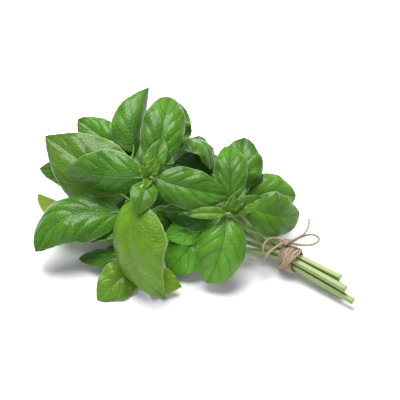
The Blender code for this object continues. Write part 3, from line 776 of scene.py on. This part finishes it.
def puffOf(form, t, v, order, grow, length):
    # How far the skin swells between its side veins: a power of a sine of the vein order, uneven
    # from lobe to lobe, and less at the midrib, the margin and the foot.
    away = np.abs(v)
    between = np.abs(np.sin(np.pi * order)) ** blade["puffPower"]
    lobe = blade["lobeStep"] * np.floor(order) + form["seed"]
    lobe = lobe + np.where(v < 0, blade["lobeShift"], 0)
    between = between * (1 + blade["puffUneven"] * np.sin(lobe))
    puff = form["puff"] * blade["puff"] * length * smoothStep(away, *blade["puffRise"]) * grow
    puff = puff * (1 - blade["puffLoss"] * smoothStep(away, *blade["puffFall"]))
    puff = puff * smoothStep(order, -1, 0) * smoothStep(t, *blade["puffStart"])
    return puff * (between - 0.5)


def veinRidge(t, away, reach, fromVein):
    # how far the veins stand out below: a bell curve across each, lower toward its end
    ridge = blade["midribDepth"] * (1 - blade["midribTaper"] * t)
    ridge = ridge * np.exp(-((reach / blade["midribWidth"]) ** 2))
    side = blade["sideVeinDepth"] * np.exp(-((fromVein / blade["sideVeinWidth"]) ** 2))
    return ridge + side * smoothStep(away, 1, blade["sideVeinEnd"])


def bladeGrids(form):
    # Upper and lower skin of one blade, on a grid of t, the share of its length, by v, the way
    # across. Across it the slope starts at rise, by the midrib, and falls evenly to -drop at the
    # margin.
    rows, columns = bladeMesh[form["size"]]
    s = np.linspace(0, 1, rows)[:, None]
    t = 0.5 * s + 0.25 * (1 - np.cos(np.pi * s))  # rows closer at both ends
    t, v = np.broadcast_arrays(t, np.linspace(-1, 1, columns)[None, :])
    away, nearby = np.abs(v), 1e-3
    middle, up, length = midrib(form, t)
    ahead = midrib(form, np.clip(t + nearby, 0, 1))[0]
    along = unit(ahead - midrib(form, np.clip(t - nearby, 0, 1))[0])
    normal = unit(up - (along @ up)[..., None] * along)
    side = np.cross(along, normal)
    half = halfWidth(form, t)
    grow = np.clip(2 * half / form["width"], blade["leastGrow"], 1)
    rise = bySide(form.get("rise", blade["rise"]), v)
    drop = bySide(form.get("drop", blade["drop"]), v)
    turn = (rise + drop) / half * (blade["evenCurve"] + (1 - blade["evenCurve"]) * grow)
    reach = away * half + toothOf(form, t, away)
    soft = np.sqrt(reach**2 + blade["foldWidth"] ** 2) - blade["foldWidth"]
    out = (np.sin(rise) - np.sin(rise - turn * reach)) / turn
    height = (np.cos(rise - turn * soft) - np.cos(rise)) / turn
    veinStep = blade["veinStep"][form["size"]]
    order = t - veins["start"] - veins["slant"] * away - veins["sweep"] * away**2
    order = order / veinStep
    height = height + waveOf(form, t, v, grow)
    height = height + puffOf(form, t, v, order, grow, length)
    warp = np.sin(blade["warpAlong"] * t + blade["warpAcross"] * v + form["seed"])
    height = height + blade["warp"] * length * warp * grow * away
    surface = middle + side * (np.sign(v) * out)[..., None] + normal * height[..., None]
    facing = unit(np.cross(np.gradient(surface, axis=1), np.gradient(surface, axis=0)))
    ridge = veinRidge(t, away, reach, np.abs(order - np.round(order)) * veinStep * length)
    ridge = ridge * bySize(form, blade["veinFull"])
    thinner = blade["rimThickness"] - blade["thickness"]
    skin = (blade["thickness"] + thinner * away ** blade["rimPower"]) / 2
    upper, lower = surface + facing * skin[..., None], surface - facing * (skin + ridge)[..., None]
    return upper, lower, np.stack([t, (v + 1) / 2], axis=-1), veinStep


def addBlade(shape, form):
    # the two skins, and a wall of quads that joins them all round
    upper, lower, uv, veinStep = bladeGrids(form)
    rows, columns = upper.shape[:2]
    size = rows * columns
    top = gridFaces(rows, columns)
    below = gridFaces(rows, columns, size)[:, ::-1]
    index = np.arange(size).reshape(rows, columns)
    rim = np.concatenate([index[0], index[1:, -1], index[-1, -2::-1], index[-2:0:-1, 0]])
    onward = np.roll(rim, -1)
    wall = np.stack([onward, rim, rim + size, onward + size], axis=-1)
    slots = np.concatenate([np.zeros(len(top)), np.ones(len(below)), np.zeros(len(wall))])
    age, dark = form["tone"]
    # the fourth place, from a darkness below 0, is painted light
    tone = (age, max(dark, 0), veinStep, max(-dark, 0))
    faces = np.vstack([top, below, wall])
    shape.add(np.stack([upper, lower]), faces, np.stack([uv, uv]), tone, slots)


# the stems and stalks, in millimetres; the section's numbers are shares of its half width
stemForm = dict(half=2.25, tipShare=0.6, rings=150, sides=32, mean=1.03, square=0.10, corner=0.02,
                nodeSteps=60, nodeSwell=0.11, nodeLength=3.5, leafyTone=(0.35, 0.95),
                patternLength=12.0)
stalkForm = dict(radius=1.15, footShare=1.15, endShare=0.5, rings=24, sides=14, under=0.10,
                 sink=0.35, halfway=0.45, least=0.35, fullWidth=50, groove=0.10, grooveWidth=0.5,
                 onward=0.02, tone=(0.75, 0, 0, 1))
plainTone = (0, 0, 0, 1)
# an end's rings: their sizes, and how far each bulges out as a share of the bulge
endRings = dict(sizes=(1.0, 0.94, 0.7, 0.35, 0.0), bulges=(0, 0.7, 1, 1, 0.8), bulge=0.08)


def carried(path):
    # The tube's frame at each point: the side turns as little as it can from ring to ring.
    along = unit(np.gradient(path, axis=0))
    side = unit(np.cross((0, 0, 1), along[0]))
    sides = []
    for ahead in along:
        side = unit(side - (side @ ahead) * ahead)
        sides.append(side)
    return along, np.array(sides), np.cross(along, np.array(sides))


def angles(sides):
    # one for each side, evenly round
    return np.linspace(0, 2 * np.pi, sides, endpoint=False)[None, :]


def addTube(shape, path, radii, tone, patternLength, startSlot=0):
    # A profile carried along the path: radii holds one radius for each ring and side, so the
    # section may be square, ribbed or twisted. Each end closes in rings that shrink and bulge.
    rings, sides = radii.shape
    along, across, upward = carried(path)
    angle = np.append(angles(sides), 2 * np.pi)
    ring = across[:, None] * np.cos(angle)[:, None] + upward[:, None] * np.sin(angle)[:, None]
    ring = ring * np.concatenate([radii, radii[:, :1]], axis=1)[..., None]
    length = lengthAlong(path) / patternLength
    around = angle[None, :] / (2 * np.pi)
    uv = np.stack(np.broadcast_arrays(length[:, None], around), axis=-1)
    tone = np.broadcast_to(tone, (rings, 4))
    faces = gridFaces(rings, sides + 1)
    shape.add(path[:, None] + ring, faces, uv, np.repeat(tone, sides + 1, axis=0), 0)
    sizes = np.array(endRings["sizes"])[:, None]
    uv = np.stack(np.broadcast_arrays(sizes, around), axis=-1)
    faces = gridFaces(len(sizes), sides + 1)
    for place, outward, slot in ((0, -1, startSlot), (-1, 1, 0)):
        bulge = endRings["bulge"] * radii[place].mean() * np.array(endRings["bulges"])
        cap = path[place] + ring[place][None] * sizes[..., None]
        cap = cap + outward * bulge[:, None, None] * along[place]
        shape.add(cap, faces if outward > 0 else faces[:, ::-1], uv, tone[place], slot)


def nodePoint(stem, share):
    # the point this share of the way along the stem
    steps = stemForm["nodeSteps"]
    return smoothPath(stem, steps + 1)[round(steps * share)]


def addStem(shape, sprig):
    # The section is a square with rounded corners and hollow faces: cosines of four and eight
    # times the angle. A bell curve swells it a little at every node.
    path = smoothPath(sprig["stem"], stemForm["rings"])
    angle = angles(stemForm["sides"])
    half = np.linspace(1, stemForm["tipShare"], len(path))[:, None]
    half = sprig["thick"] * stemForm["half"] * half
    for node in sorted({form["node"] for form in sprig["leaves"]}):
        away = np.linalg.norm(path - nodePoint(sprig["stem"], node), axis=1)[:, None]
        bell = np.exp(-((away / stemForm["nodeLength"]) ** 2))
        half = half * (1 + stemForm["nodeSwell"] * bell)
    section = stemForm["mean"] - stemForm["square"] * np.cos(4 * angle)
    section = section - stemForm["corner"] * np.cos(8 * angle)
    tone = np.tile(np.array(plainTone, float), (len(path), 1))
    tone[:, 0] = smoothStep(np.linspace(0, 1, len(path)), *stemForm["leafyTone"])
    addTube(shape, path, half * section, tone, stemForm["patternLength"], startSlot=1)


def stalkPath(stem, form):
    # out of the stem at its node, then on under the start of the midrib
    start = nodePoint(stem, form["node"])
    under, up, _ = midrib(form, np.array([0, stalkForm["onward"], stalkForm["under"]]))
    back = unit(under[0] - under[1])
    halfway = under[0] + back * np.linalg.norm(under[0] - start) * stalkForm["halfway"]
    sunk = [under[0] - up * 0.5 * stalkForm["sink"], under[2] - up * stalkForm["sink"]]
    return smoothPath([start, halfway, *sunk], stalkForm["rings"])


def addStalk(shape, stem, form):
    # round, thinner toward the blade, with a shallow groove along its top
    path = stalkPath(stem, form)
    thick = min(1, stalkForm["least"] + form["width"] / stalkForm["fullWidth"])
    thick = stalkForm["radius"] * thick
    radii = np.linspace(stalkForm["footShare"], stalkForm["endShare"], len(path))[:, None] * thick
    fromTop = (angles(stalkForm["sides"]) - np.pi / 2) / stalkForm["grooveWidth"]
    radii = radii * (1 - stalkForm["groove"] * np.exp(-(fromTop**2)))
    addTube(shape, path, radii, stalkForm["tone"], stemForm["patternLength"])


# the sprigs; each leaf's wave and skin start at other places by its number and its sprig's name
variety = dict(phaseStep=2.4, seedStep=1.7, nameStep=0.9)


def makeSprig(name, sprig):
    blades, stalks = Shape(), Shape()
    addStem(stalks, sprig)
    for number, form in enumerate(sprig["leaves"]):
        form["phase"] = variety["phaseStep"] * number
        form["seed"] = variety["seedStep"] * number + variety["nameStep"] * len(name)
        *form["tone"], form["puff"] = tones[name].get(number, usualTones[form["size"]])
        addBlade(blades, form)
        addStalk(stalks, sprig["stem"], form)
    keep(blades.build("leaves_" + name, bladeSkins), "basil_leaf", "sprig_" + name)
    keep(stalks.build("stem_" + name, stemSkins), "basil_leaf", "sprig_" + name)


for name, sprig in sprigs.items():
    makeSprig(name, sprig)
print("sprigs are made:", len(sprigs))


# the twine, in millimetres
twine = dict(radius=0.8, sides=18, fineSteps=40, ringSpacing=0.45, grooveDepth=0.26, lobePower=0.6,
             uneven=((0.05, 0.7, 0), (0.04, 1.9, 1)), tieMiddle=(2.2, 11.75), turnPoints=110,
             turnStride=6, knotMiddle=(68.9, 6.0, 22.2), knotPoints=140, knotBow=0.6, knotGap=0.15)
fibre = dict(radius=0.045, taper=0.6, rings=6, root=0.75, reach=1.6, shortest=0.3, droop=0.35,
             lean=1.5, curl=0.8, bend=0.5, onTurns=140, onKnot=24, onFree=22)
# the turns round the stems: turns made so far, place along X, lean, radius
turns = [
    (0.0, 67.8, -0.10, 7.9), (7.0, 80.2, -0.30, 7.9), (7.5, 79.6, -0.20, 8.6),
    (8.0, 77.8, -0.36, 8.6), (9.5, 75.4, -0.40, 8.6), (10.0, 74.5, 0.10, 9.0),
    (10.5, 72.8, 0.60, 9.2), (11.5, 74.4, 0.68, 9.2), (12.6, 76.0, 0.70, 9.2),
    (13.0, 75.0, 0.45, 9.0),
]
freeTwine = {
    "twine_loop_right": [
        (73, 7.9, 24), (75.2, 12, 25.3), (77.9, 16.4, 26), (80.9, 19.9, 26), (84.4, 21.8, 25),
        (87.2, 20.8, 24), (87.1, 17.1, 23.2), (84.1, 12.9, 22.8), (78.9, 9.1, 22.9),
        (73.9, 7, 22.6),
    ],
    "twine_loop_left": [
        (66.7, 3.8, 24.2), (63, 1.9, 26), (59.3, -1.7, 27), (58.5, -6.8, 27.2), (59.4, -11.5, 26.2),
        (61.1, -13, 23.4), (62.1, -9.6, 20.2), (62.5, -3.2, 18.9), (63.3, -0.6, 18.9),
        (64.9, 2, 19.7),
    ],
    "twine_tail_right": [
        (72.5, 6, 25.8), (75.8, 10.6, 27.8), (77.4, 16.1, 28.6), (75.4, 24.4, 27.4), (70.1, 34, 24),
    ],
    "twine_tail_left": [
        (67.9, 1.7, 24), (66.7, -3.1, 25), (66, -9.8, 25.6), (65.3, -14.5, 23.6),
        (63.3, -15.4, 17.5), (59.6, -12.1, 7),
    ],
}
dice = np.random.default_rng(7)


def evenPath(points):
    # the same curve with its points an even distance apart
    fine = smoothPath(points, twine["fineSteps"] * len(points))
    length = lengthAlong(fine)
    even = np.linspace(0, length[-1], round(length[-1] / twine["ringSpacing"]) + 1)
    return np.stack([np.interp(even, length, fine[:, axis]) for axis in range(3)], axis=-1)


def addTwine(shape, path):
    # Three strands: the radius is largest where the cosine of one and a half turns is, the whole
    # section turns once round in every pitch, and slow sines make it uneven, each with its share,
    # its pace and its start.
    length = lengthAlong(path)[:, None]
    turned = angles(twine["sides"]) - 2 * np.pi * length / jute["pitch"]
    lobe = np.abs(np.cos(turned * jute["strands"] / 2)) ** twine["lobePower"]
    uneven = 1
    for share, pace, start in twine["uneven"]:
        uneven = uneven + share * np.sin(length * pace + start)
    radii = twine["radius"] * uneven * (1 - twine["grooveDepth"] * (1 - lobe))
    addTube(shape, path, radii, plainTone, 1.0)


def addFibres(shape, path, count):
    # Loose fibres: each leaves the strand at a slant, bends over and ends free.
    along, across, upward = carried(path)
    s = np.linspace(0, 1, fibre["rings"])[:, None]
    radii = fibre["radius"] * (1 - fibre["taper"] * s) * np.ones((1, 3))
    for _ in range(count):
        at = dice.integers(1, len(path) - 2)
        angle, lean = dice.uniform(0, 2 * np.pi), dice.uniform(-fibre["lean"], fibre["lean"])
        curl = dice.normal(0, fibre["curl"], 3)
        tall = fibre["reach"] * dice.uniform(fibre["shortest"], 1)
        out = across[at] * np.cos(angle) + upward[at] * np.sin(angle)
        height = fibre["root"] * twine["radius"] + tall * s * (1 - fibre["droop"] * s)
        way = path[at] + out * height + along[at] * lean * tall * s
        way = way + curl * fibre["bend"] * tall * s**2
        addTube(shape, way, radii, plainTone, 1.0)


def woundPath():
    # a circle round the stems whose place along them, lean and radius change with the turn
    made, place, lean, radius = np.array(turns).T
    turn = np.linspace(0, made[-1], round(made[-1] * twine["turnPoints"]) + 1)
    angle = 2 * np.pi * turn
    around = np.interp(turn, made, radius)
    x = np.interp(turn, made, place) + np.interp(turn, made, lean) * around * np.cos(angle)
    y = twine["tieMiddle"][0] + around * np.sin(angle)
    z = twine["tieMiddle"][1] + around * np.cos(angle)
    return np.stack([x, y, z], axis=-1)[:: twine["turnStride"]]


def knotPath():
    # a trefoil: the sum of one and two turns across, and three up and down
    u = np.linspace(0, 2 * np.pi, twine["knotPoints"])
    x, y = np.sin(u) + 2 * np.sin(2 * u), np.cos(u) - 2 * np.cos(2 * u)
    return np.array(twine["knotMiddle"]) + np.stack([x, y, -np.sin(3 * u)], axis=-1)


def knotEnd(start, onward):
    # a strand that comes out of the knot and stops just short of where free twine starts
    middle, start = np.array(twine["knotMiddle"]), np.array(start, float)
    ahead = unit(np.array(onward, float) - start)
    halfway = 0.5 * (middle + start) - twine["knotBow"] * ahead
    return evenPath([middle, halfway, start - twine["knotGap"] * ahead])


tie = Shape()
for path, count in ((evenPath(woundPath()), fibre["onTurns"]), (knotPath(), fibre["onKnot"])):
    addTwine(tie, path)
    addFibres(tie, path, count)
for name, route in freeTwine.items():
    addTwine(tie, knotEnd(route[0], route[1]))
    if "loop" in name:
        addTwine(tie, knotEnd(route[-1], route[-2]))
keep(tie.build("wound_twine", [juteTwine]), "jute_twine", "twine_tie")

for name, route in freeTwine.items():
    path = evenPath(route)
    strand, loose = Shape(), Shape()
    addTwine(strand, path)
    addFibres(loose, path, fibre["onFree"])
    made = strand.build(name + "_strand", [juteTwine])
    fuzz = loose.build(name + "_fibres", [juteTwine])
    keep(made, "jute_twine", name)
    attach(fuzz, "root")
print("twine is made")
